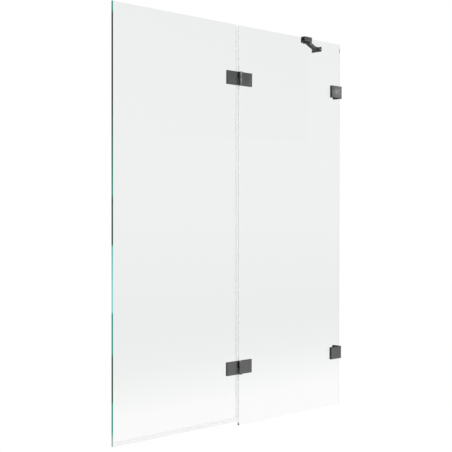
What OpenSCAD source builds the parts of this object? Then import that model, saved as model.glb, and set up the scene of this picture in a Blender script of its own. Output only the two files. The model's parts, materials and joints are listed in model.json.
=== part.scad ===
// Folding bath screen: a fixed glass pane on two wall brackets and a support arm,
// and a swinging glass pane on two hinges whose pins stand in front of the glass.
// X runs from the free edge to the wall, Y from the room to the bath, Z up.
// The origin is on the wall, in the middle plane of the glass, at the height of
// the lower wall bracket.

/* [Panes] */
// Width over both panes, from the free edge to the wall end of the glass
screen_w = 1200; // [1000:10:1400]
// Height of the fixed pane
screen_h = 1500; // [1200:10:1700]
// Width of the swinging pane
door_w = 591.5; // [450:0.5:680]
// Thickness of the glass
glass_t = 8; // [8:0.5:10]
// Gap between the two panes
joint_gap = 9; // [8.5:0.5:12]
// Gap between the glass and the wall
wall_gap = 6; // [5.5:0.5:10]
// Height of the swinging pane's lower edge above the rim of the bath
door_rise = 18; // [16:1:30]
// Ground edge of the glass
glass_bevel = 0.8; // [0.4:0.1:1.2]
// From the swinging pane's top and bottom edges to the middle of the fittings
fitting_inset = 201; // [120:1:300]

/* [Hinges] */
// Width of a hinge leaf's plate
leaf_w = 55.5; // [46:0.5:64]
// Height of a hinge leaf
leaf_h = 50.5; // [46:0.5:70]
// Thickness of a hinge leaf's plate
leaf_t = 7; // [7:0.5:9]
// Free width between the plates of the two leaves
leaf_space = 21.5; // [20:0.5:30]
// From the front face of the glass to the pin's axis
axis_stand = 11.5; // [11:0.5:14]
// Diameter of the knuckles
knuckle_d = 13; // [12.5:0.5:15]
// Diameter of the hinge pin
pin_d = 6; // [4:0.5:6.5]
// Diameter of the pin's head
pin_head_d = 9; // [8.5:0.5:10]
// Thickness of the pin's head
pin_head_t = 2; // [1.5:0.1:3]
// Wall of the flanged sleeve that the pin turns in
sleeve_wall = 1; // [0.6:0.1:1.2]
// Thickness of the sleeve's flange between the knuckles
flange_t = 0.8; // [0.6:0.1:2]
// Chamfer on the visible edges of the metal fittings
edge_chamfer = 0.9; // [0.4:0.1:1.5]

/* [Glass fixings] */
// Diameter of the fixing screws
screw_d = 6; // [5:0.5:7]
// Diameter of their flush heads
head_d = 15; // [12:0.5:16]
// Height between the two screws of a plate
screw_pitch = 26; // [20:1:28]
// Length of thread in the plate
thread_l = 5; // [3:0.5:5.5]
// Key width of the socket in the head
socket_w = 4; // [3:0.5:5]
// Depth of the socket
socket_deep = 2.4; // [1.5:0.1:3]
// Wall of the plastic cone between screw and glass
cone_wall = 1; // [0.6:0.1:1.4]
// Thickness of the soft sheets between metal and glass
gasket_t = 1; // [0.5:0.1:1.5]

/* [Wall brackets] */
// Width of a bracket's front plate
bracket_w = 64.5; // [50:0.5:80]
// Height of a bracket
bracket_h = 49.5; // [45:0.5:70]
// Thickness of the front plate
bracket_t = 10; // [9:0.5:14]
// From the wall end of the glass to the edge of the front plate
bracket_inset = 1; // [0.5:0.5:4]
// How far the front plate stands out in front of the bracket's neck
neck_step = 6; // [4:0.5:7]
// Thickness of the leg that lies on the wall
leg_t = 4.5; // [4:0.5:5]
// Reach of the leg behind the glass
leg_reach = 36; // [26:0.5:50]
// Diameter of the screw holes in the leg
wall_hole_d = 5.5; // [4:0.5:6]
// Diameter of their countersinks
wall_sink_d = 10.5; // [8:0.5:11]
// Height between the two screw holes
wall_hole_pitch = 27; // [20:1:32]

/* [Support arm] */
// From the wall to the middle of the clamp on the glass
clamp_from_wall = 215.5; // [150:0.5:300]
// Width of the clamp
clamp_w = 45; // [43:1:60]
// Reach of the front jaw below the top edge of the glass
front_drop = 15; // [13:0.5:24]
// Reach of the back jaw below the top edge of the glass
back_drop = 19; // [17:0.5:28]
// Thickness of the clamp over the top edge
bridge_t = 3.5; // [2.5:0.5:6]
// Thickness of the clamp's front jaw
front_jaw_t = 5.5; // [4:0.5:8]
// Thickness of the clamp's back jaw
back_jaw_t = 9.5; // [6:0.5:9.5]
// Distance of the arm's pivot from the middle of the clamp
pivot_shift = 2.3; // [2:0.1:8]
// Side of the square arm
arm_side = 15; // [14:0.5:15.5]
// From the top edge of the glass down to the middle of the arm
arm_drop = 6.3; // [6:0.1:8]
// Angle between arm and glass, seen from above
arm_angle = 29.2; // [20:0.1:50]
// Diameter of the pins at the arm's two ends
pivot_d = 5; // [4:0.5:6]
// From the wall to the arm's far pivot
pivot_stand = 12.8; // [12.8:0.1:20]
// Length of the support's wall plate
support_plate_l = 52; // [48:1:80]
// Height of the support's wall plate
support_plate_h = 20; // [19.5:0.5:30]
// From the arm's far pivot to the middle of the wall plate, away from the glass
plate_shift = 3.2; // [0:0.1:4]
// Thickness of the support's wall plate
support_plate_t = 4; // [3:0.1:4.2]
// Diameter of its screw holes
support_hole_d = 4.5; // [3.5:0.5:5]
// Diameter of their countersinks
support_sink_d = 8.5; // [7:0.5:9]
// Distance between the two screw holes
support_hole_pitch = 38; // [34:1:40]
// Diameter of the clamp's grub screws
grub_d = 5; // [4:0.5:6]

/* [Seals] */
// Height of the drip seal's channel above the lower edge of the glass
drip_leg = 14.5; // [10:0.5:20]
// Length of the sealing lip below the glass
drip_lip = 15.4; // [10:0.1:15.6]
// Reach of the drip vane on the bath side
drip_vane = 9; // [6:0.5:14]
// Length of the joint seal's legs on the glass
seal_leg = 8; // [6:0.5:14]
// Wall of the seals
seal_wall = 1.2; // [0.8:0.1:1.5]
// Wall of the soft lips
lip_wall = 0.8; // [0.5:0.1:1.2]

/* [Hidden] */
$fn = 64;

// Clearances
press_gap = 0.05;
turn_gap = 0.08;
face_gap = 0.3;
swing_gap = 0.5;
cut_over = 1;
head_sunk = 0.3;

// Places of the panes
front_y = -glass_t / 2;
back_y = glass_t / 2;
rim_z = -(door_rise + fitting_inset);
top_z = rim_z + screen_h;
upper_z = top_z - fitting_inset;
fitting_zs = [upper_z, 0];
glass_end = -wall_gap;
free_edge = glass_end - screen_w;
door_end = free_edge + door_w;
fixed_start = door_end + joint_gap;
fixed_w = glass_end - fixed_start;
joint_x = door_end + joint_gap / 2;
door_z = rim_z + door_rise;
door_h = screen_h - door_rise;

// Places of the hinges
leaf_back = front_y - gasket_t;
leaf_front = leaf_back - leaf_t;
axis_y = front_y - axis_stand;
knuckle_r = knuckle_d / 2;
door_leaf_x = joint_x - leaf_space / 2 - leaf_w;
fixed_leaf_x = joint_x + leaf_space / 2;
knuckle_split = flange_t / 2 + press_gap;

// Places of the wall brackets
bracket_x = glass_end - bracket_inset - bracket_w;
bracket_front = leaf_back - bracket_t;
leg_end = back_y + leg_reach;
wall_hole_y = back_y + leg_reach / 2;

// Places of the support
clamp_x = -clamp_from_wall;
front_low = top_z - front_drop;
clamp_low = top_z - back_drop;
clamp_high = top_z + gasket_t + bridge_t;
arm_z = top_z - arm_drop;
plate_low = arm_z - support_plate_h / 2;
plate_high = arm_z + support_plate_h / 2;
clamp_front = front_y - gasket_t - front_jaw_t;
jaw_in = back_y + gasket_t;
jaw_out = jaw_in + back_jaw_t;
jaw_web = 1.5;
arm_r = arm_side / 2;
pivot_x = clamp_x + pivot_shift;
pivot_y = jaw_in + jaw_web + swing_gap + arm_r;
ear_r = arm_r + edge_chamfer;
slot_h = arm_side + 2 * face_gap;
arm_run = -pivot_stand - pivot_x;
arm_length = arm_run / cos(arm_angle);
far_y = pivot_y + arm_run * tan(arm_angle);
plate_y = far_y + plate_shift;
pin_cap_t = 1.2;
pin_cap_d = pivot_d + 2 * pin_cap_t;
grub_x = clamp_x - clamp_w / 2 + grub_d * 1.8;
grub_pitch = grub_d * 2.1;
pad_w = grub_d * 2.6;
grub_z = (clamp_low + top_z) / 2;

// Glass fixings: screw centres of the six plates
half_pitch = screw_pitch / 2;
door_leaf_screw_x = door_leaf_x + leaf_w / 2;
fixed_leaf_screw_x = fixed_leaf_x + leaf_w / 2;
bracket_screw_x = bracket_x + bracket_w / 2;
sink_deep = (head_d - screw_d) / 2;
head_y = back_y - head_sunk;
bore_d = screw_d + 2 * (cone_wall + press_gap);

// Extrudes an outline drawn in Y and Z along X
module along_x(from_x, to_x) {
    translate([from_x, 0, 0])
        rotate([90, 0, 90])
            linear_extrude(to_x - from_x) children();
}

// Turns a shape whose axis is Z so that its axis is Y
module along_y(x, y, z) {
    translate([x, y, z]) rotate([-90, 0, 0]) children();
}

// Turns a shape whose axis is Z so that its axis points away from the wall
module off_wall(y, z) {
    translate([0, y, z]) rotate([0, -90, 0]) children();
}

// Rectangle with all four corners cut by c
module cut_rect(x0, y0, x1, y1, c) {
    polygon([
        [x0 + c, y0], [x1 - c, y0], [x1, y0 + c], [x1, y1 - c],
        [x1 - c, y1], [x0 + c, y1], [x0, y1 - c], [x0, y0 + c]
    ]);
}

// Rectangle whose two corners on the y0 side are cut by c
module front_cut_rect(x0, y0, x1, y1, c) {
    polygon([[x0 + c, y0], [x1 - c, y0], [x1, y0 + c], [x1, y1], [x0, y1], [x0, y0 + c]]);
}

// Block with chamfers round its front face
module faced_block(x0, x1, y_front, y_back, z0, z1) {
    intersection() {
        translate([0, 0, z0])
            linear_extrude(z1 - z0)
                front_cut_rect(x0, y_front, x1, y_back, edge_chamfer);
        along_x(x0 - cut_over, x1 + cut_over)
            rotate(90)
                mirror([0, 1])
                    front_cut_rect(z0, y_front, z1, y_back, edge_chamfer);
    }
}

// Pane of glass with ground edges
module pane(x0, w, z0, h) {
    intersection() {
        translate([0, 0, z0])
            linear_extrude(h) cut_rect(x0, front_y, x0 + w, back_y, glass_bevel);
        along_x(x0 - cut_over, x0 + w + cut_over)
            cut_rect(front_y, z0, back_y, z0 + h, glass_bevel);
    }
}

// Places children at the four screws of a plate that both fittings share
module at_screws(x) {
    for (z = fitting_zs, side = [-1, 1])
        translate([x, 0, z + side * half_pitch]) children();
}

// Countersunk hole through the glass, open towards the bath
module glass_hole() {
    r = bore_d / 2 + press_gap;
    wide = head_d / 2 + cone_wall + 2 * press_gap;
    along_y(0, 0, 0)
        rotate_extrude()
            polygon([
                [0, front_y - cut_over], [r, front_y - cut_over],
                [r, head_y - (wide - r)], [wide, head_y],
                [wide, back_y + cut_over], [0, back_y + cut_over]
            ]);
}

// Flush screw with a key socket, from the bath side into a plate
module flush_screw() {
    r = screw_d / 2;
    head_r = head_d / 2;
    along_y(0, 0, 0)
        difference() {
            rotate_extrude()
                polygon([
                    [0, leaf_back - thread_l], [r - press_gap, leaf_back - thread_l],
                    [r - press_gap, head_y - sink_deep], [head_r, head_y], [0, head_y]
                ]);
            translate([0, 0, head_y - socket_deep])
                cylinder(d = socket_w / cos(30), h = socket_deep + cut_over, $fn = 6);
        }
}

// Plastic cone that keeps a screw off the glass
module glass_cone() {
    r = screw_d / 2 + press_gap;
    outer = bore_d / 2;
    wide_in = head_d / 2 + press_gap;
    wide_out = head_d / 2 + cone_wall + press_gap;
    along_y(0, 0, 0)
        rotate_extrude()
            polygon([
                [r, front_y], [outer, front_y], [outer, head_y - (wide_out - outer)],
                [wide_out, head_y], [wide_in, head_y], [r, head_y - (wide_in - r)]
            ]);
}

// Threaded blind hole in the back of a plate
module screw_socket() {
    along_y(0, leaf_back - thread_l - press_gap, 0)
        cylinder(d = screw_d, h = thread_l + press_gap + cut_over);
}

// Soft sheet between a plate and the glass
module gasket(x, w, z, h) {
    difference() {
        translate([x + edge_chamfer, leaf_back, z - h / 2 + edge_chamfer])
            cube([w - 2 * edge_chamfer, gasket_t, h - 2 * edge_chamfer]);
        for (side = [-1, 1])
            along_y(x + w / 2, leaf_back - cut_over, z + side * half_pitch)
                cylinder(d = bore_d, h = gasket_t + 2 * cut_over);
    }
}

// Knuckle round the pin's axis
module knuckle(z0, z1) {
    translate([joint_x, axis_y, z0]) cylinder(r = knuckle_r, h = z1 - z0);
}

// Block behind a knuckle, which joins it to its plate: side -1 is the swinging pane's leaf
module knuckle_block(side, z0, z1) {
    edge = side * (leaf_space / 2 + edge_chamfer);
    root = -side * knuckle_r;
    translate([joint_x, 0, z0])
        linear_extrude(z1 - z0)
            polygon([
                [edge, leaf_back], [root + 2 * side * edge_chamfer, leaf_back],
                [root, leaf_back - 2 * edge_chamfer], [root, axis_y], [0, axis_y],
                [side * knuckle_r * cos(55), axis_y + knuckle_r * sin(55)],
                [edge, axis_y + knuckle_r * sin(55)]
            ]);
}

// Bore for the pin through both knuckles of a hinge
module pin_bore(z, d, z0, z1) {
    translate([joint_x, axis_y, z + z0]) cylinder(d = d, h = z1 - z0);
}

// Leaf on the fixed pane: it has the lower knuckle, which holds the pin
module fixed_leaf(z) {
    low = z - leaf_h / 2;
    color("dimgray")
        difference() {
            union() {
                faced_block(fixed_leaf_x, fixed_leaf_x + leaf_w, leaf_front, leaf_back, low, low + leaf_h);
                knuckle(low, z - knuckle_split);
                knuckle_block(1, low, z - knuckle_split);
            }
            pin_bore(z, pin_d + 2 * press_gap, edge_chamfer * 2 - leaf_h / 2, cut_over);
            for (side = [-1, 1])
                translate([fixed_leaf_screw_x, 0, z + side * half_pitch]) screw_socket();
        }
}

// Leaf on the swinging pane: it has the upper knuckle, which turns on the sleeve
module door_leaf(z) {
    low = z - leaf_h / 2;
    high = z + leaf_h / 2;
    color("dimgray")
        difference() {
            union() {
                faced_block(door_leaf_x, door_leaf_x + leaf_w, leaf_front, leaf_back, low, high);
                knuckle(z + knuckle_split, high);
                knuckle_block(-1, z + knuckle_split, high);
            }
            pin_bore(z, pin_d + 2 * (sleeve_wall + turn_gap + press_gap), 0, leaf_h / 2 + cut_over);
            pin_bore(z, pin_head_d + 2 * face_gap, leaf_h / 2 - pin_head_t - 2 * face_gap, leaf_h / 2 + cut_over);
            for (side = [-1, 1])
                translate([door_leaf_screw_x, 0, z + side * half_pitch]) screw_socket();
        }
}

// Hinge pin with a flat head sunk in the upper knuckle
module hinge_pin(z) {
    head_low = leaf_h / 2 - pin_head_t - face_gap;
    foot = leaf_h / 2 - 2 * edge_chamfer - press_gap;
    color("silver")
        translate([joint_x, axis_y, z]) {
            translate([0, 0, -foot]) cylinder(d = pin_d, h = foot + head_low + press_gap);
            translate([0, 0, head_low]) cylinder(d = pin_head_d, h = pin_head_t);
        }
}

// Flanged sleeve: it sits in the upper knuckle and runs on the lower one
module hinge_sleeve(z) {
    bore = pin_d + 2 * turn_gap;
    outer = bore + 2 * sleeve_wall;
    tall = leaf_h / 2 - pin_head_t - 3 * face_gap;
    color("darkslategray")
        translate([joint_x, axis_y, z])
            difference() {
                union() {
                    translate([0, 0, turn_gap - flange_t / 2])
                        cylinder(d = knuckle_d - edge_chamfer, h = flange_t - turn_gap + press_gap);
                    cylinder(d = outer, h = tall);
                }
                translate([0, 0, -cut_over - flange_t]) cylinder(d = bore, h = tall + 2 * cut_over + flange_t);
            }
}

// Wall bracket: front plate, neck round the end of the glass, and leg on the wall
module wall_bracket(z) {
    low = z - bracket_h / 2;
    neck_y = bracket_front + neck_step;
    plate_end = bracket_x + bracket_w;
    color("dimgray")
        difference() {
            union() {
                faced_block(bracket_x, plate_end, bracket_front, leaf_back, low, low + bracket_h);
                translate([plate_end - bracket_inset, neck_y, low])
                    cube([bracket_inset - plate_end, leaf_back - neck_y, bracket_h]);
                translate([-leg_t, 0, 0])
                    leg_plate(neck_y, low);
            }
            for (side = [-1, 1]) {
                translate([bracket_screw_x, 0, z + side * half_pitch]) screw_socket();
                off_wall(wall_hole_y, z + side * wall_hole_pitch / 2) wall_hole(leg_t, wall_hole_d, wall_sink_d);
            }
        }
}

// Leg of a bracket, with its far corners rounded
module leg_plate(neck_y, low) {
    corner = leg_t;
    rotate([90, 0, 90])
        linear_extrude(leg_t)
            union() {
                translate([neck_y, low]) square([leg_end - corner - neck_y, bracket_h]);
                translate([neck_y, low + corner]) square([leg_end - neck_y, bracket_h - 2 * corner]);
                translate([leg_end - corner, low + corner]) circle(r = corner);
                translate([leg_end - corner, low + bracket_h - corner]) circle(r = corner);
            }
}

// Screw hole square to the wall, countersunk on the side away from it
module wall_hole(t, d, sink) {
    deep = (sink - d) / 2;
    translate([0, 0, -cut_over]) cylinder(d = d, h = t + 2 * cut_over);
    rotate_extrude()
        polygon([[0, t - deep], [d / 2, t - deep], [sink / 2, t], [sink / 2, t + cut_over], [0, t + cut_over]]);
}

// Outline of the clamp's back jaw seen from above, with the ears round the pivot
module jaw_outline() {
    translate([clamp_x - clamp_w / 2, jaw_in]) square([clamp_w, back_jaw_t]);
    translate([pivot_x - ear_r, jaw_in]) square([2 * ear_r, pivot_y - jaw_in]);
    translate([pivot_x, pivot_y]) circle(r = ear_r);
}

// Space that the arm's end swings in, seen from above
module swing_outline() {
    r = arm_r + swing_gap;
    far = clamp_w;
    web_y = jaw_in + jaw_web;
    translate([pivot_x, pivot_y]) circle(r = r);
    translate([pivot_x, web_y]) square([far, far]);
    translate([pivot_x - r, pivot_y]) square([r + cut_over, far]);
}

// Clamp that grips the top edge of the fixed pane and holds the arm in a fork
module support_clamp() {
    x0 = clamp_x - clamp_w / 2;
    x1 = clamp_x + clamp_w / 2;
    slot_z = arm_z - slot_h / 2;
    color("dimgray")
        difference() {
            union() {
                faced_block(x0, x1, clamp_front, front_y - gasket_t, front_low, clamp_high);
                translate([x0, front_y - gasket_t, top_z + gasket_t])
                    cube([clamp_w, glass_t + 2 * gasket_t, bridge_t]);
                translate([0, 0, clamp_low]) linear_extrude(clamp_high - clamp_low) jaw_outline();
            }
            translate([0, 0, slot_z]) linear_extrude(slot_h) swing_outline();
            translate([pivot_x, pivot_y, clamp_low - cut_over])
                cylinder(d = pivot_d + 2 * press_gap, h = clamp_high - clamp_low + 2 * cut_over);
            translate([pivot_x, pivot_y, clamp_high - pin_cap_t])
                cylinder(d = pin_cap_d + 2 * press_gap, h = pin_cap_t + cut_over);
            for (side = [-1, 1])
                along_y(grub_x, jaw_in - cut_over, grub_z + side * grub_pitch / 2)
                    cylinder(d = grub_d, h = back_jaw_t + 2 * cut_over);
            translate([grub_x - pad_w / 2, jaw_in - cut_over, clamp_low + edge_chamfer])
                cube([pad_w, jaw_web + cut_over, top_z - clamp_low - 2 * edge_chamfer]);
            back_edge_cut(x0);
        }
}

// Chamfer along the clamp's upper back edge, left of the ears
module back_edge_cut(x0) {
    c = 2 * edge_chamfer;
    along_x(x0 - cut_over, pivot_x - ear_r)
        polygon([
            [jaw_out - c, clamp_high + cut_over], [jaw_out - c, clamp_high],
            [jaw_out, clamp_high - c], [jaw_out + cut_over, clamp_high - c],
            [jaw_out + cut_over, clamp_high + cut_over]
        ]);
}

// Soft lining of the clamp, over the top edge of the glass
module clamp_gasket() {
    x0 = clamp_x - clamp_w / 2 + edge_chamfer;
    color("black")
        along_x(x0, x0 + clamp_w - 2 * edge_chamfer)
            difference() {
                translate([front_y - gasket_t, clamp_low + edge_chamfer])
                    square([glass_t + 2 * gasket_t, top_z + gasket_t - clamp_low - edge_chamfer]);
                translate([front_y, clamp_low - cut_over])
                    square([glass_t, back_drop + cut_over]);
                translate([front_y - gasket_t - cut_over, clamp_low - cut_over])
                    square([gasket_t + 2 * cut_over, back_drop - front_drop + edge_chamfer + cut_over]);
            }
}

// Steel plate that spreads the force of the grub screws
module pressure_plate() {
    color("silver")
        translate([grub_x - pad_w / 2 + face_gap, jaw_in, clamp_low + edge_chamfer + face_gap])
            cube([pad_w - 2 * face_gap, jaw_web, top_z - clamp_low - 2 * (edge_chamfer + face_gap)]);
}

// Two grub screws with key sockets, from the back of the clamp
module grub_screws() {
    long = back_jaw_t - jaw_web - edge_chamfer;
    color("silver")
        for (side = [-1, 1])
            along_y(grub_x, jaw_in + jaw_web, grub_z + side * grub_pitch / 2)
                difference() {
                    cylinder(d = grub_d - 2 * press_gap, h = long);
                    translate([0, 0, long / 2]) cylinder(d = grub_d / 2, h = long, $fn = 6);
                }
}

// Pivot pin with a flat head, standing from low to high
module pivot_pin(low, high) {
    translate([0, 0, low]) cylinder(d = pivot_d, h = high - low);
    translate([0, 0, high - pin_cap_t]) cylinder(d = pin_cap_d, h = pin_cap_t);
}

// Pin that joins clamp and arm
module clamp_pivot_pin() {
    color("silver")
        translate([pivot_x, pivot_y, 0]) pivot_pin(clamp_low, clamp_high);
}

// Square arm with rounded ends
module support_arm() {
    c = edge_chamfer;
    low = arm_z - arm_r;
    color("dimgray")
        translate([pivot_x, pivot_y, low])
            rotate(arm_angle)
                difference() {
                    intersection() {
                        linear_extrude(arm_side)
                            union() {
                                circle(r = arm_r);
                                translate([0, -arm_r]) square([arm_length, arm_side]);
                                translate([arm_length, 0]) circle(r = arm_r);
                            }
                        along_x(-arm_side, arm_length + arm_side)
                            cut_rect(-arm_r, 0, arm_r, arm_side, c);
                    }
                    for (x = [0, arm_length])
                        translate([x, 0, -cut_over])
                            cylinder(d = pivot_d + 2 * turn_gap, h = arm_side + 2 * cut_over);
                }
}

// Wall plate of the support, with the fork for the arm's far end
module support_wall_plate() {
    tall = support_plate_h;
    low = plate_low;
    color("dimgray")
        difference() {
            union() {
                support_base(low, tall);
                translate([-pivot_stand, far_y, low]) cylinder(r = ear_r, h = tall);
                translate([-pivot_stand, far_y - ear_r, low])
                    cube([pivot_stand - support_plate_t / 2, 2 * ear_r, tall]);
            }
            translate([-pivot_stand - 2 * ear_r, far_y - 2 * ear_r, arm_z - slot_h / 2])
                cube([pivot_stand + 2 * ear_r - support_plate_t, 4 * ear_r, slot_h]);
            translate([-pivot_stand, far_y, low - cut_over])
                cylinder(d = pivot_d + 2 * press_gap, h = tall + 2 * cut_over);
            translate([-pivot_stand, far_y, low + tall - pin_cap_t])
                cylinder(d = pin_cap_d + 2 * press_gap, h = pin_cap_t + cut_over);
            for (side = [-1, 1])
                off_wall(plate_y + side * support_hole_pitch / 2, arm_z)
                    wall_hole(support_plate_t, support_hole_d, support_sink_d);
        }
}

// Flat base of the support's wall plate, chamfered round its front
module support_base(low, tall) {
    y0 = plate_y - support_plate_l / 2;
    y1 = plate_y + support_plate_l / 2;
    c = edge_chamfer;
    intersection() {
        translate([0, 0, low])
            linear_extrude(tall)
                polygon([[0, y0], [0, y1], [c - support_plate_t, y1], [-support_plate_t, y1 - c],
                         [-support_plate_t, y0 + c], [c - support_plate_t, y0]]);
        translate([0, y1 + cut_over, 0])
            rotate([90, 0, 0])
                linear_extrude(support_plate_l + 2 * cut_over)
                    polygon([[0, low], [0, low + tall], [c - support_plate_t, low + tall],
                             [-support_plate_t, low + tall - c], [-support_plate_t, low + c],
                             [c - support_plate_t, low]]);
    }
}

// Pin that joins arm and wall plate
module wall_plate_pivot_pin() {
    color("silver")
        translate([-pivot_stand, far_y, 0]) pivot_pin(plate_low, plate_high);
}

// Section of the drip seal, in Y and Z from the lower edge of the glass:
// a channel on the glass, a vane that throws drops into the bath, and a lip
module drip_section() {
    in_w = glass_t / 2 + press_gap;
    out_w = in_w + seal_wall;
    base = seal_wall + press_gap;
    vane_y = out_w + drip_vane;
    vane_z = -base - drip_vane / 2;
    bead_z = lip_wall - drip_lip;
    polygon([
        [-in_w, -press_gap], [-in_w, drip_leg], [-out_w, drip_leg], [-out_w, -base],
        [-in_w, -drip_lip / 2], [-lip_wall / 2 - in_w, bead_z],
        [lip_wall / 2 - in_w, bead_z], [lip_wall - in_w, -drip_lip / 2],
        [2 * lip_wall - out_w, -base], [in_w, -base],
        [vane_y - lip_wall, vane_z - lip_wall / 2], [vane_y, vane_z],
        [out_w, -press_gap], [out_w, drip_leg], [in_w, drip_leg], [in_w, -press_gap]
    ]);
    translate([-in_w, bead_z]) circle(r = lip_wall);
}

// Drip seal along the lower edge of the swinging pane
module drip_seal() {
    color("lightgray")
        along_x(free_edge, free_edge + door_w)
            translate([0, door_z]) drip_section();
}

// Section of the joint seal, in X and Y from the end of the swinging pane:
// a channel on the glass and a hollow-backed lip that reaches to the fixed pane
module joint_section() {
    in_w = glass_t / 2 + press_gap;
    out_w = in_w + seal_wall;
    base = seal_wall + press_gap;
    tip = joint_gap - face_gap;
    difference() {
        translate([-seal_leg, -out_w]) square([seal_leg + base, 2 * out_w]);
        translate([-seal_leg - cut_over, -in_w]) square([seal_leg + cut_over + press_gap, 2 * in_w]);
    }
    polygon([
        [base / 2, in_w], [base / 2, in_w - 2 * lip_wall], [tip / 2, in_w - 3 * lip_wall],
        [tip - lip_wall, 0], [tip, 0], [tip / 2 + lip_wall, in_w - 2 * lip_wall]
    ]);
    translate([tip - lip_wall / 2, 0]) circle(r = lip_wall / 2);
}

// One length of the joint seal
module joint_seal(z0, z1) {
    color("lightgray")
        translate([door_end, 0, z0]) linear_extrude(z1 - z0) joint_section();
}

seal_end = leaf_h / 2 + face_gap;

color("lightcyan", 0.4)  // fixed_glass
        difference() {
            pane(fixed_start, fixed_w, rim_z, screen_h);
            at_screws(fixed_leaf_screw_x) glass_hole();
            at_screws(bracket_screw_x) glass_hole();
        }
color("lightcyan", 0.4)  // door_glass
        difference() {
            pane(free_edge, door_w, door_z, door_h);
            at_screws(door_leaf_screw_x) glass_hole();
        }
wall_bracket(upper_z);  // upper_wall_bracket
wall_bracket(0);  // lower_wall_bracket
color("black") for (z = fitting_zs) gasket(bracket_x, bracket_w, z, bracket_h);  // wall_bracket_gaskets
color("silver") at_screws(bracket_screw_x) flush_screw();  // wall_bracket_screws
color("darkslategray") at_screws(bracket_screw_x) glass_cone();  // wall_bracket_cones
fixed_leaf(upper_z);  // upper_hinge_fixed_leaf
fixed_leaf(0);  // lower_hinge_fixed_leaf
color("black") for (z = fitting_zs) gasket(fixed_leaf_x, leaf_w, z, leaf_h);  // fixed_leaf_gaskets
color("silver") at_screws(fixed_leaf_screw_x) flush_screw();  // fixed_leaf_screws
color("darkslategray") at_screws(fixed_leaf_screw_x) glass_cone();  // fixed_leaf_cones
door_leaf(upper_z);  // upper_hinge_door_leaf
door_leaf(0);  // lower_hinge_door_leaf
color("black") for (z = fitting_zs) gasket(door_leaf_x, leaf_w, z, leaf_h);  // door_leaf_gaskets
color("silver") at_screws(door_leaf_screw_x) flush_screw();  // door_leaf_screws
color("darkslategray") at_screws(door_leaf_screw_x) glass_cone();  // door_leaf_cones
hinge_pin(upper_z);  // upper_hinge_pin
hinge_pin(0);  // lower_hinge_pin
hinge_sleeve(upper_z);  // upper_hinge_sleeve
hinge_sleeve(0);  // lower_hinge_sleeve
support_clamp();
clamp_gasket();
pressure_plate();  // clamp_pressure_plate
grub_screws();  // clamp_grub_screws
clamp_pivot_pin();
support_arm();
support_wall_plate();
wall_plate_pivot_pin();
drip_seal();  // door_drip_seal
joint_seal(upper_z + seal_end, top_z);  // joint_seal_top
joint_seal(seal_end, upper_z - seal_end);  // joint_seal_middle
joint_seal(door_z + drip_leg + face_gap, -seal_end);  // joint_seal_bottom
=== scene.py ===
"""Folding bath screen: the visible pieces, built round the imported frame."""
import json
import math

import bmesh
import bpy
from bpy.props import FloatProperty, FloatVectorProperty, IntProperty, PointerProperty
from mathutils import Matrix, Vector


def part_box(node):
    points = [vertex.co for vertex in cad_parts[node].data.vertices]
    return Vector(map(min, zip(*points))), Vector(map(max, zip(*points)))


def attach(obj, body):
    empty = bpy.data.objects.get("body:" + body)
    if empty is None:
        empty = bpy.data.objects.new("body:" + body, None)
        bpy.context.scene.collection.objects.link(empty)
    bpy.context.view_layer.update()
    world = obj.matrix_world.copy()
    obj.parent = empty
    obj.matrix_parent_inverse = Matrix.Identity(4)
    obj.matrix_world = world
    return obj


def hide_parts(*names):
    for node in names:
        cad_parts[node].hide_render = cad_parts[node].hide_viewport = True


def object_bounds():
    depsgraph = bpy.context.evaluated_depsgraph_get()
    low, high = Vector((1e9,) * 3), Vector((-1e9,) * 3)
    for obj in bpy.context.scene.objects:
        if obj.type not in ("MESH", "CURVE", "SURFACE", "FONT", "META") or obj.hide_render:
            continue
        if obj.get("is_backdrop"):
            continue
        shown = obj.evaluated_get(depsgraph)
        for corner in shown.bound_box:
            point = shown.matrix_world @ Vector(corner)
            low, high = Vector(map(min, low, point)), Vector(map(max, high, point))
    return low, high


bl_info = {
    "name": "Folding bath screen",
    "version": (1, 0, 0),
    "blender": (4, 5, 0),
    "location": "3D View > Sidebar > Bath screen",
    "description": "Builds the visible pieces of a two-pane bath screen",
    "category": "Object",
}

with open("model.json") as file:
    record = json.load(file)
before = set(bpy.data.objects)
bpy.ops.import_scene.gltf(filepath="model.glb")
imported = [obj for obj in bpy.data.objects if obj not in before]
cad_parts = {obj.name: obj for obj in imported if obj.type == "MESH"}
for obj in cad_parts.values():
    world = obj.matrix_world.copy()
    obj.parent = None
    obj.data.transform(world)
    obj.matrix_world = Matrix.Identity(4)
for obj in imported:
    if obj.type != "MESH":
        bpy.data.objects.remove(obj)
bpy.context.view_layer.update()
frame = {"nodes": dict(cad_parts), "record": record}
FIXED = "fixed_part"
DOOR = "door"

# Metres, unless the line says otherwise
SAME_POINT = 0.000002   # corners nearer than this are one corner
TOUCH = 0.00002         # a face nearer than this to a pane lies on it
HAIR = 0.00006          # gap that a rubber face gets to the glass
SQUARE_ON = 0.9         # share of a normal along an axis from which a face is square to it
FLAT_FACE = 0.8         # share of a normal along Y from which a metal face is brushed; the rest get the painted shade of the sides
PANE_FLAT = 0.99        # the same from which a face is one of a pane's two large faces
PANE_END = 0.5          # share of a normal along X from which a face belongs to a pane's end
SAME_PLANE = 0.5        # degrees between two faces up to which they are one flat face
SHARP = 32              # degrees between two faces from which their edge is rounded
SMOOTH = 40             # degrees up to which rounded edges are shaded as one
PANE_SMOOTH = 20        # the same on the panes, whose chamfers stay crisp
ROUND_SIDES = 48        # sides of a turned piece
BRUSHED_REACH = 0.0135  # brushing round the door's axis, with barrels and grooves
PANE_RIM = 0.0015       # width of a pane's edge, with its chamfer
GLASS_LIGHT_LOW = -0.22        # heights between which a painted reflection changes the glass's colour
GLASS_LIGHT_HIGH = 1.28
VINYL_ROUND = 0.00015   # rounding of the seals' edges
FINE_ROUND = 0.0001     # rounding of screws, pins and gaskets
FLOOR_RADIUS = 9
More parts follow.
